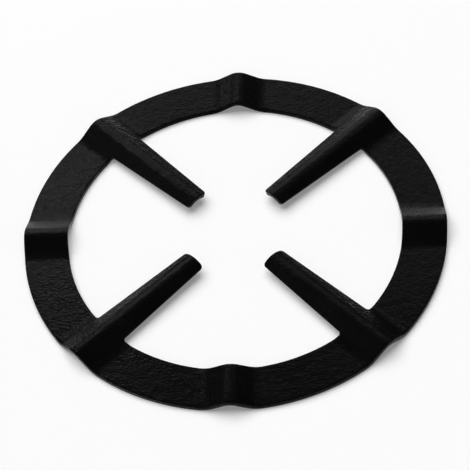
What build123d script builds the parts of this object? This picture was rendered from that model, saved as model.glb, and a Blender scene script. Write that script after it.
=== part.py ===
from build123d import *
import os
from math import asin, atan2, cos, degrees, hypot, radians, sin, tan

os.makedirs("parts", exist_ok=True)

# A gas hob reducer ring: one blank of sheet steel with four inward fingers, pressed with eight radial
# ridges and coated all over. Millimetres, +Z up. The flats rest on z = 0, the plain ridges lie on X and Y
# and the fingers on the diagonals.

# Blank
outer_diameter = 140.0
band_width = 14.7            # of the flat ring, from its outer rim to its inner rim
sheet_thickness = 1.8        # steel with its coat on both faces
finger_count = 4
finger_root_width = 12.5     # of the top face, seen from above, where the finger leaves the inner rim
finger_tip_width = 8.7       # of the top face, seen from above
tip_spacing = 35.8           # between the tips of two opposite fingers
tip_corner_radius = 1.2
root_corner_radius = 1.0

# Pressed ridges, one down every finger and one halfway to the next
ridge_height = 3.2           # from the flats to the crest
ridge_width = 15.8           # on the top face, between the feet's corners before they are rounded
crest_radius = 6.0           # on the top face
foot_radius = 9.0            # on the top face

# Places that follow from the sizes
outer_radius = outer_diameter / 2
inner_radius = outer_radius - band_width
tip_radius = tip_spacing / 2
tip_corner_distance = hypot(tip_radius, finger_tip_width / 2)
crest_top = sheet_thickness + ridge_height
ridge_count = 2 * finger_count
pitch = 360 / ridge_count
past = 1.0                   # by which a cutter reaches past what it cuts

# The flank is the line from a foot's corner that touches the crest's arc
centre_drop = crest_radius - ridge_height        # of the crest's centre below the flats
centre_distance = hypot(ridge_width / 2, centre_drop)
flank_angle = asin(crest_radius / centre_distance) - atan2(centre_drop, ridge_width / 2)


def apex(depth):
    # Height at which the two flanks would meet without the crest's arc, at a depth below the top face
    return crest_top - crest_radius + (crest_radius - depth) / cos(flank_angle)


def sheet_line(depth, reach):
    # The sheet's line across one ridge, at a depth below its top face
    foot = ridge_width / 2 - depth * tan(flank_angle / 2)
    level = sheet_thickness - depth
    sides = [(0, foot, level), (0, reach, level)]
    mirrored = [(0, -reach, level), (0, -foot, level)]
    bends = [foot_radius + depth, crest_radius - depth, foot_radius + depth]
    return FilletPolyline(*mirrored, (0, 0, apex(depth)), *sides, radius=bends)


def pressed_strip():
    # One ridge with the flats beside it, of one thickness all over, from the centre past the outer rim
    length = outer_radius + past
    reach = length * tan(radians(pitch / 2)) + past
    top = sheet_line(0, reach)
    bottom = sheet_line(sheet_thickness, reach)
    ends = [Line(top @ 0, bottom @ 0), Line(top @ 1, bottom @ 1)]
    section = make_face([*top.edges(), *bottom.edges(), *ends])
    return extrude(section, amount=length, dir=(1, 0, 0))


def band_cutter():
    # The flat ring's outline over one sector
    far = outer_radius + past
    side = far * tan(radians(pitch / 2))
    wedge = make_face(Polyline((0, 0), (far, -side), (far, side), close=True))
    band = Circle(outer_radius) - Circle(inner_radius)
    return Pos(0, 0, -past) * extrude(band & wedge, amount=crest_top + 2 * past)


def finger_cutter():
    # Half a finger's outline drawn on its flank and run square through the sheet, and its mirror image
    root = finger_root_width / 2 / cos(flank_angle)
    tip = finger_tip_width / 2 / cos(flank_angle)
    taper = (root - tip) / (inner_radius - tip_radius)
    end_radius = inner_radius + band_width / 2
    end = root + taper * (end_radius - inner_radius)
    corners = [(tip_radius, -past), (end_radius, -past), (end_radius, end), (tip_radius, tip)]
    outline = make_face(Polyline(*corners, close=True))
    flank = Plane(origin=(0, 0, apex(0)), x_dir=(1, 0, 0), z_dir=(0, sin(flank_angle), cos(flank_angle)))
    half = flank * Pos(0, 0, past) * extrude(outline, amount=-2 * (sheet_thickness + past))
    return half + mirror(half, about=Plane.XZ)


def pressed_ring():
    # Plain and fingered sectors in turn, joined along the middle of each flat
    strip = pressed_strip()
    plain = strip & band_cutter()
    fingered = strip & (band_cutter() + finger_cutter())
    sectors = []
    for index in range(ridge_count):
        sector = plain if index % 2 == 0 else fingered
        sectors.append(Rot(0, 0, index * pitch) * sector)
    return Part() + sectors


def corner_edges(shape, distance):
    # Edges that run through the sheet at this distance from the axis
    near = sheet_thickness / 2
    found = ShapeList()
    for edge in shape.edges():
        middle = edge @ 0.5
        runs_through = abs((edge % 0.5).Z) > cos(radians(45))
        if runs_through and abs(hypot(middle.X, middle.Y) - distance) < near:
            found.append(edge)
    return found


ring = pressed_ring()
ring = fillet(corner_edges(ring, inner_radius), root_corner_radius)
ring = fillet(corner_edges(ring, tip_corner_distance), tip_corner_radius)

export_step(ring.solids()[0], "parts/reducer_ring.step")
print("flank angle", round(degrees(flank_angle), 2), "volume", round(ring.volume, 1))
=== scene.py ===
from math import asin, atan2, copysign, cos, hypot, pi, radians, sin, sqrt, tan

import bmesh
import bpy
from mathutils import Matrix, Quaternion, Vector


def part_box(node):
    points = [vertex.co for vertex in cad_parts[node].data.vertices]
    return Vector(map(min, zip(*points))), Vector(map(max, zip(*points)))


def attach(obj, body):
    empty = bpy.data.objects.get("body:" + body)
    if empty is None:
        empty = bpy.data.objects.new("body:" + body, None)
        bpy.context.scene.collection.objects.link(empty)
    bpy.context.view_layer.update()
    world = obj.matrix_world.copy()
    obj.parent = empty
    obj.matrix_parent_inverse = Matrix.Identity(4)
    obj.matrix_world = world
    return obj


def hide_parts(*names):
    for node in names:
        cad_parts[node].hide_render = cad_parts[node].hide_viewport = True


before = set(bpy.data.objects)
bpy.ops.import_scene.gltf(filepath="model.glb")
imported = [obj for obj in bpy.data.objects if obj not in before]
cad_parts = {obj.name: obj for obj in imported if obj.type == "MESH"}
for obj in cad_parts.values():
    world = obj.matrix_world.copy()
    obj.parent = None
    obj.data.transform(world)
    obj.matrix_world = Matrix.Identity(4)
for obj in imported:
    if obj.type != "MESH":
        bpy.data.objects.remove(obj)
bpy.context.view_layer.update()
cadLow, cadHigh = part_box("reducer_ring")
print("frame loaded:", ", ".join(sorted(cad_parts)))

mm = 0.001

# The ring is one coated blank of sheet steel with eight pressed ridges, every second one down a finger
ring = {
    "outerRadius": cadHigh.x,
    "bandWidth": 14.7 * mm,
    "sheet": 1.8 * mm,
    "ridges": 8,
    "ridgeHeight": cadHigh.z - 1.8 * mm,
    "ridgeWidth": 15.8 * mm,       # between the feet's corners before they are rounded
    "crestRadius": 6.0 * mm,
    "footRadius": 9.0 * mm,
    "fingerRoot": 12.5 * mm,       # width at the inner rim
    "fingerTip": 8.7 * mm,         # width at the tip
    "tipSpacing": 35.8 * mm,       # between opposite tips
    "rootCorner": 1.0 * mm,
    "tipCorner": 1.2 * mm,
    "edgeAngle": radians(60),      # edges sharper than this are rounded
    "edgeRound": 0.35 * mm,        # softening of the cut edges under the coat
    "edgeSegments": 3,
    "cutSlope": radians(45),       # steeper than this, the surface belongs to a cut edge
    "crestSteps": 6,               # each side of the crest
    "cornerSteps": 3,
    "footSteps": 8,
    "flatSteps": 12,               # each side of a flat's middle
    "fingerSteps": 18,
    "bandRows": [0.0, 0.08, 0.3, 0.5, 0.7, 0.92, 1.0],     # shares of the way from rim to rim
    "weld": 0.001 * mm,
}

outerRadius = ring["outerRadius"]
innerRadius = outerRadius - ring["bandWidth"]
tipRadius = ring["tipSpacing"] / 2
fingerLength = innerRadius - tipRadius
rootHalf = ring["fingerRoot"] / 2
tipHalf = ring["fingerTip"] / 2
pitch = 2 * pi / ring["ridges"]

# Section across a ridge on the top face: crest arc, straight flank, foot arc, flat
centreDrop = ring["crestRadius"] - ring["ridgeHeight"]
centreDistance = hypot(ring["ridgeWidth"] / 2, centreDrop)
flankAngle = asin(ring["crestRadius"] / centreDistance) - atan2(centreDrop, ring["ridgeWidth"] / 2)
footReach = ring["footRadius"] * tan(flankAngle / 2)
footStart = ring["ridgeWidth"] / 2 - footReach * cos(flankAngle)
footEnd = ring["ridgeWidth"] / 2 + footReach
crestEnd = ring["crestRadius"] * sin(flankAngle)


def sectionAt(across):
    # height above the flats and slope of the top face, at this distance from the ridge's axis
    side = abs(across)
    if side >= footEnd:
        return 0.0, 0.0
    if side >= footStart:
        slope = asin((footEnd - side) / ring["footRadius"])
        return ring["footRadius"] * (1 - cos(slope)), slope
    if side >= crestEnd:
        return ring["footRadius"] * (1 - cos(flankAngle)) + (footStart - side) * tan(flankAngle), flankAngle
    slope = asin(side / ring["crestRadius"])
    return ring["ridgeHeight"] - ring["crestRadius"] * (1 - cos(slope)), slope


def steps(start, end, count):
    return [start + (end - start) * step / count for step in range(1, count + 1)]


def ridgeLines():
    # distances from the ridge's axis, at the inner rim, of the lines that run along it
    corner = ring["cornerSteps"]
    lines = [0.0] + steps(0.0, crestEnd, ring["crestSteps"])
    for step in range(corner - 1, -1, -1):   # on the flank these land on the tip corner's steps at the tip
        share = ring["tipCorner"] * step / corner / (tipHalf - crestEnd)
        lines.append(rootHalf - share * (rootHalf - crestEnd))
    cornerEnd = rootHalf + ring["rootCorner"]
    lines += steps(rootHalf, cornerEnd, corner)
    lines += steps(cornerEnd, footEnd, ring["footSteps"])
    return lines


lines = ridgeLines()
fingerSide = ring["crestSteps"] + ring["cornerSteps"]     # index of the line that is a finger's side


def sectorStations():
    # inner rim angle, outer rim angle and line index of each line across the band, over one sector
    half = [(asin(line / innerRadius), asin(line / outerRadius), index) for index, line in enumerate(lines)]
    footInner, footOuter, last = half[-1]
    for share in steps(0.0, 1.0, ring["flatSteps"]):
        inner = footInner + (pitch / 2 - footInner) * share
        outer = footOuter + (pitch / 2 - footOuter) * share
        half.append((inner, outer, last + 1))
    return [(-inner, -outer, -index) for inner, outer, index in reversed(half[1:])] + half


def rootShift(distance, onRim):
    # how far a point on the outline moves, across and inwards, to round a finger's root corner
    radius = ring["rootCorner"]
    if distance > radius:
        return 0.0, 0.0
    turn = radians(45) * (1 - distance / radius)
    if onRim:
        return radius * (1 - sin(turn)) - distance, radius * (1 - cos(turn))
    return radius * (1 - cos(turn)), radius * (1 - sin(turn)) - distance


def tipRound(fromSide, fromTip):
    # the square corner of a tip's grid drawn in to concentric arcs
    radius = ring["tipCorner"]
    level = min(fromSide, fromTip)
    if max(fromSide, fromTip) > radius or level >= radius:
        return fromSide, fromTip
    turn = radians(45) * (radius - max(fromSide, fromTip)) / (radius - level)
    if fromSide > fromTip:
        turn = radians(90) - turn
    return radius - (radius - level) * cos(turn), radius - (radius - level) * sin(turn)


def bandPoint(station, row):
    # a point of the band's plan from its place in the grid
    sector, local = divmod(station, len(stations) - 1)
    inner, outer, index = stations[local]
    axis = sector * pitch
    start = Vector((innerRadius * cos(inner), innerRadius * sin(inner)))
    if sector % 2 == 1 and row == 0 and fingerSide <= abs(index) < len(lines):
        across, inwards = rootShift(lines[abs(index)] - rootHalf, True)
        start += Vector((-inwards, copysign(across, index)))
    end = Vector((outerRadius * cos(outer), outerRadius * sin(outer)))
    return Matrix.Rotation(axis, 2) @ start.lerp(end, ring["bandRows"][row])


def fingerPoint(column, depth, axis):
    # a point of a finger's plan, from its line's index and its depth inwards from the rim
    line = lines[abs(column)]
    share = depth / fingerLength
    half = rootHalf + (tipHalf - rootHalf) * share
    across = line
    if line > crestEnd:
        across = crestEnd + (line - crestEnd) * (half - crestEnd) / (rootHalf - crestEnd)
    along = sqrt(innerRadius ** 2 - line ** 2) * (1 - share) + tipRadius * share
    if abs(column) == fingerSide:
        outwards, inwards = rootShift(depth, False)
        across += outwards
        along -= inwards
    fromSide, fromTip = tipRound(half - across, fingerLength - depth)
    if fromTip < ring["tipCorner"]:
        across = half - fromSide
        along = tipRadius + fromTip
    return Matrix.Rotation(axis, 2) @ Vector((along, copysign(across, column)))


def addBand(bm):
    columns = (len(stations) - 1) * ring["ridges"]
    rows = len(ring["bandRows"]) - 1
    made = bmesh.ops.create_grid(bm, x_segments=columns, y_segments=rows, size=1)
    for vert in made["verts"]:
        station = round((vert.co.x + 1) / 2 * columns)
        row = round((vert.co.y + 1) / 2 * rows)
        vert.co = bandPoint(station, row).to_3d()


def addFinger(bm, axis):
    corner = ring["cornerSteps"]
    depths = [0.0] + steps(0.0, ring["rootCorner"], corner)
    depths += steps(ring["rootCorner"], fingerLength - ring["tipCorner"], ring["fingerSteps"])
    depths += steps(fingerLength - ring["tipCorner"], fingerLength, corner)
    columns = 2 * fingerSide
    rows = len(depths) - 1
    made = bmesh.ops.create_grid(bm, x_segments=columns, y_segments=rows, size=1)
    for vert in made["verts"]:
        column = round((vert.co.x + 1) / 2 * columns) - fingerSide
        row = round((vert.co.y + 1) / 2 * rows)
        vert.co = fingerPoint(column, depths[row], axis).to_3d()


def press(vert, depth):
    # lifts a point of the plan on to the pressed sheet, square to it at a depth below its top face
    sector = round(atan2(vert.co.y, vert.co.x) / pitch)
    turn = Matrix.Rotation(sector * pitch, 2)
    along, across = turn.inverted() @ vert.co.to_2d()
    height, slope = sectionAt(across)
    across -= copysign(depth * sin(slope), across)
    placed = turn @ Vector((along, across))
    vert.co = placed.to_3d()
    vert.co.z = ring["sheet"] + height - depth * cos(slope)


def roundEdges(bm):
    rims = [edge for edge in bm.edges if edge.calc_face_angle(0.0) > ring["edgeAngle"]]
    bmesh.ops.bevel(bm, geom=rims, offset=ring["edgeRound"], offset_type="OFFSET",
                    segments=ring["edgeSegments"], profile=0.5, affect="EDGES", material=-1)


def paintCutEdgeShade(bm):
    # an attribute that the enamel reads, 1 on the cut edges and 0 elsewhere: painted shade, as there the
    # enamel turns metallic black and reflects none of the floor
    cutEdgeShade = bm.verts.layers.float.new("cutEdgeShade")
    bm.normal_update()
    for vert in bm.verts:
        vert[cutEdgeShade] = float(abs(vert.normal.z) < cos(ring["cutSlope"]))


def makeRing():
    bm = bmesh.new()
    addBand(bm)
    for sector in range(1, ring["ridges"], 2):
        addFinger(bm, sector * pitch)
    bmesh.ops.remove_doubles(bm, verts=bm.verts, dist=ring["weld"])
    made = bmesh.ops.extrude_face_region(bm, geom=bm.faces[:], use_keep_orig=True)
    topVerts = {item for item in made["geom"] if isinstance(item, bmesh.types.BMVert)}
    for vert in bm.verts:
        press(vert, 0.0 if vert in topVerts else ring["sheet"])
    bmesh.ops.recalc_face_normals(bm, faces=bm.faces)
    roundEdges(bm)
    paintCutEdgeShade(bm)
    for face in bm.faces:
        face.smooth = True
    mesh = bpy.data.meshes.new("pressedRing")
    bm.to_mesh(mesh)
    bm.free()
    piece = bpy.data.objects.new("pressedRing", mesh)
    bpy.context.scene.collection.objects.link(piece)
    weighted = piece.modifiers.new("weightedNormals", "WEIGHTED_NORMAL")
    weighted.mode = "FACE_AREA"
    weighted.keep_sharp = True
    return piece


stations = sectorStations()
piece = makeRing()
print("ring modelled:", len(piece.data.vertices), "vertices", len(piece.data.polygons), "faces")


# Black enamel, semi-matt, with the fine ripple and the slight unevenness of a sprayed and fired coat
enamel = {
    "colour": (0.0015, 0.0015, 0.0016, 1.0),
    "paleColour": (0.0032, 0.0031, 0.0032, 1.0),
    "cloudSize": 14.0 * mm,
    "cloudDetail": 4.0,
    "cloudRange": (0.3, 0.7),      # of the noise, from the glossiest places to the dullest
    "roughness": (0.215, 0.285),   # at the two ends of that range
    "rippleSize": 2.6 * mm,
    "rippleHeight": 0.12 * mm,
    "rippleDetail": 1.0,
    "grainSize": 0.8 * mm,
    "grainHeight": 0.15 * mm,
    "grainDetail": 2.0,
}


def addNode(tree, kind, **settings):
    node = tree.nodes.new(kind)
    for name, value in settings.items():
        setattr(node, name, value)
    return node


def noiseAt(tree, place, size, detail):
    noise = addNode(tree, "ShaderNodeTexNoise")
    noise.inputs["Scale"].default_value = 1 / size
    noise.inputs["Detail"].default_value = detail
    tree.links.new(place.outputs["Object"], noise.inputs["Vector"])
    return noise


def addBump(tree, place, size, detail, height):
    bump = addNode(tree, "ShaderNodeBump")
    bump.inputs["Distance"].default_value = height
    tree.links.new(noiseAt(tree, place, size, detail).outputs["Fac"], bump.inputs["Height"])
    return bump


def makeEnamel():
    material = bpy.data.materials.new("blackEnamel")
    material.use_nodes = True
    tree = material.node_tree
    link = tree.links.new
    shader = tree.nodes["Principled BSDF"]
    place = addNode(tree, "ShaderNodeTexCoord")

    cloud = noiseAt(tree, place, enamel["cloudSize"], enamel["cloudDetail"])
    tone = addNode(tree, "ShaderNodeMix", data_type="RGBA")
    tone.inputs["A"].default_value = enamel["colour"]
    tone.inputs["B"].default_value = enamel["paleColour"]
    link(cloud.outputs["Fac"], tone.inputs["Factor"])
    link(tone.outputs["Result"], shader.inputs["Base Color"])

    gloss = addNode(tree, "ShaderNodeMapRange")
    gloss.inputs["From Min"].default_value, gloss.inputs["From Max"].default_value = enamel["cloudRange"]
    gloss.inputs["To Min"].default_value, gloss.inputs["To Max"].default_value = enamel["roughness"]
    link(cloud.outputs["Fac"], gloss.inputs["Value"])
    link(gloss.outputs["Result"], shader.inputs["Roughness"])

    cutEdgeShade = addNode(tree, "ShaderNodeAttribute", attribute_name="cutEdgeShade")     # painted shade: metallic over the black base colour, so the cut edges reflect none of the floor
    link(cutEdgeShade.outputs["Fac"], shader.inputs["Metallic"])

    ripple = addBump(tree, place, enamel["rippleSize"], enamel["rippleDetail"], enamel["rippleHeight"])
    grain = addBump(tree, place, enamel["grainSize"], enamel["grainDetail"], enamel["grainHeight"])
    link(ripple.outputs["Normal"], grain.inputs["Normal"])
    link(grain.outputs["Normal"], shader.inputs["Normal"])
    return material


piece.data.materials.append(makeEnamel())
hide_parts("reducer_ring")
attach(piece, "root")
print("enamel applied")


# Pale floor, soft light from above, softboxes behind the ring and soft glows on the walls round it.
# Angles are in degrees as seen from the ring, with azimuth 0 straight behind it and growing to the right
studio = {
    "floorRadius": 5.0,
    "floorSegments": 96,
    "floorDrop": 0.02 * mm,        # below the flats, so that the two surfaces don't coincide
    "floorColour": (0.88, 0.88, 0.885, 1.0),
    "floorRoughness": 0.9,
    "floorLift": 0.2,              # added only where the camera or a reflection sees the floor
    "sky": {"strength": 2.7, "spread": 70.0, "azimuth": -35.0, "elevation": 66.0},
    "boxes": {                     # size in metres; from: azimuth, elevation and distance in metres
        "window": {"strength": 0.479, "from": (-7.2, 29.0, 1.993), "size": (0.6659, 1.1346)},
        "panel": {"strength": 1.935, "from": (-31.0, 43.3, 0.322), "size": (0.0384, 0.052)},
        "spot": {"strength": 0.783, "from": (-66.9, 46.0, 1.134), "size": (0.1032, 0.122)},
        "card": {"strength": 0.833, "from": (-38.4, 11.0, 0.412), "size": (0.0301, 0.1964)},
        "corner": {"strength": 0.272, "from": (26.1, 46.1, 0.355), "size": (0.0758, 0.0821)},
    },
    "glows": {                     # full to this side of the azimuth and up to this height, then fading out
        "behind": {"strength": 0.8, "azimuth": -3.9, "full": 6.2, "end": 12, "height": 0, "top": 40},
        "front": {"strength": 0.25, "azimuth": 180, "full": 72, "end": 100, "height": 30, "top": 60},
        "right": {"strength": 0.22, "azimuth": 62, "full": 10, "end": 42, "height": 4, "top": 24},
        "left": {"strength": 0.22, "azimuth": -80, "full": 10, "end": 34, "height": 4, "top": 26},
    },
    "ceilingGlow": 0.006,
}


def direction(azimuth, elevation):
    # from the ring, with azimuth 0 straight behind it and growing to the right
    turn, rise = radians(azimuth), radians(elevation)
    return Vector((sin(turn) * cos(rise), cos(turn) * cos(rise), sin(rise)))


def makeFloor():
    bm = bmesh.new()
    bmesh.ops.create_circle(bm, cap_ends=True, segments=studio["floorSegments"], radius=studio["floorRadius"])
    bmesh.ops.translate(bm, verts=bm.verts, vec=(0, 0, -studio["floorDrop"]))
    mesh = bpy.data.meshes.new("floor")
    bm.to_mesh(mesh)
    bm.free()
    floor = bpy.data.objects.new("floor", mesh)
    bpy.context.scene.collection.objects.link(floor)

    material = bpy.data.materials.new("paleFloor")
    material.use_nodes = True
    tree = material.node_tree
    link = tree.links.new
    shader = tree.nodes["Principled BSDF"]
    shader.inputs["Base Color"].default_value = studio["floorColour"]
    shader.inputs["Roughness"].default_value = studio["floorRoughness"]
    shader.inputs["Specular IOR Level"].default_value = 0.0
    shader.inputs["Emission Color"].default_value = (1, 1, 1, 1)
    seen = None
    path = addNode(tree, "ShaderNodeLightPath")
    for ray in ("Is Camera Ray", "Is Glossy Ray", "Is Transmission Ray"):
        add = addNode(tree, "ShaderNodeMath", operation="ADD")
        add.inputs[1].default_value = 0.0
        link(path.outputs[ray], add.inputs[0])
        if seen:
            link(seen, add.inputs[1])
        seen = add.outputs[0]
    lift = addNode(tree, "ShaderNodeMath", operation="MULTIPLY")
    lift.inputs[1].default_value = studio["floorLift"]
    link(seen, lift.inputs[0])
    link(lift.outputs[0], shader.inputs["Emission Strength"])
    mesh.materials.append(material)


def addGlow(tree, place, height, glow):
    # light from a stretch of the walls
    towards = addNode(tree, "ShaderNodeVectorMath", operation="DOT_PRODUCT")
    tree.links.new(place.outputs["Generated"], towards.inputs[0])
    towards.inputs[1].default_value = direction(glow["azimuth"], 0)
    side = addNode(tree, "ShaderNodeMapRange", interpolation_type="SMOOTHSTEP")
    side.inputs["From Min"].default_value = cos(radians(glow["end"]))
    side.inputs["From Max"].default_value = cos(radians(glow["full"]))
    side.inputs["To Max"].default_value = glow["strength"]
    tree.links.new(towards.outputs["Value"], side.inputs["Value"])

    fade = addNode(tree, "ShaderNodeMapRange", interpolation_type="SMOOTHSTEP")
    fade.inputs["From Min"].default_value = sin(radians(glow["top"]))
    fade.inputs["From Max"].default_value = sin(radians(glow["height"]))
    tree.links.new(height, fade.inputs["Value"])
    lit = addNode(tree, "ShaderNodeMath", operation="MULTIPLY")
    tree.links.new(side.outputs["Result"], lit.inputs[0])
    tree.links.new(fade.outputs["Result"], lit.inputs[1])
    return lit.outputs[0]


def makeWorld():
    world = bpy.data.worlds.new("studio")
    bpy.context.scene.world = world
    world.use_nodes = True
    tree = world.node_tree
    background = tree.nodes["Background"]
    place = addNode(tree, "ShaderNodeTexCoord")
    split = addNode(tree, "ShaderNodeSeparateXYZ")
    tree.links.new(place.outputs["Generated"], split.inputs[0])

    total = None
    for glow in studio["glows"].values():
        add = addNode(tree, "ShaderNodeMath", operation="ADD")
        tree.links.new(addGlow(tree, place, split.outputs["Z"], glow), add.inputs[0])
        add.inputs[1].default_value = studio["ceilingGlow"]     # the first glow is added to it
        if total:
            tree.links.new(total, add.inputs[1])
        total = add.outputs[0]
    tree.links.new(total, background.inputs["Strength"])
    background.inputs["Color"].default_value = (1, 1, 1, 1)


def addLamp(name, kind, back):
    light = bpy.data.lights.new(name, kind)
    lamp = bpy.data.objects.new(name, light)
    lamp.rotation_mode = "QUATERNION"
    lamp.rotation_quaternion = back.to_track_quat("Z", "Y")
    bpy.context.scene.collection.objects.link(lamp)
    return lamp


def makeLamps():
    sky = studio["sky"]
    lamp = addLamp("sky", "SUN", direction(sky["azimuth"], sky["elevation"]))
    lamp.data.energy = sky["strength"]
    lamp.data.angle = radians(sky["spread"])
    lamp.visible_glossy = False

    for name, box in studio["boxes"].items():
        azimuth, elevation, distance = box["from"]
        back = direction(azimuth, elevation)
        lamp = addLamp(name, "AREA", back)
        lamp.location = back * distance
        lamp.data.shape = "RECTANGLE"
        lamp.data.size, lamp.data.size_y = box["size"]
        lamp.data.energy = box["strength"] * pi * lamp.data.size * lamp.data.size_y


makeFloor()
makeWorld()
makeLamps()
print("studio lit")


# Camera: looks down at the ring from the front, a little rolled. Its azimuth is counted as the studio's
view = {
    "azimuth": 173.16,
    "elevation": 50.76,
    "roll": -7.27,
    "distance": 0.614,
    "lens": 141.75,                # in millimetres, as the sensor's width
    "sensorWidth": 36.0,
}


def makeCamera():
    back = direction(view["azimuth"], view["elevation"])
    data = bpy.data.cameras.new("camera")
    data.lens = view["lens"]
    data.sensor_width = view["sensorWidth"]
    camera = bpy.data.objects.new("camera", data)
    camera.location = back * view["distance"]
    camera.rotation_mode = "QUATERNION"
    camera.rotation_quaternion = back.to_track_quat("Z", "Y") @ Quaternion((0, 0, 1), radians(view["roll"]))
    bpy.context.scene.collection.objects.link(camera)
    bpy.context.scene.camera = camera


makeCamera()
bpy.context.scene.view_settings.view_transform = "Standard"
print("camera set")
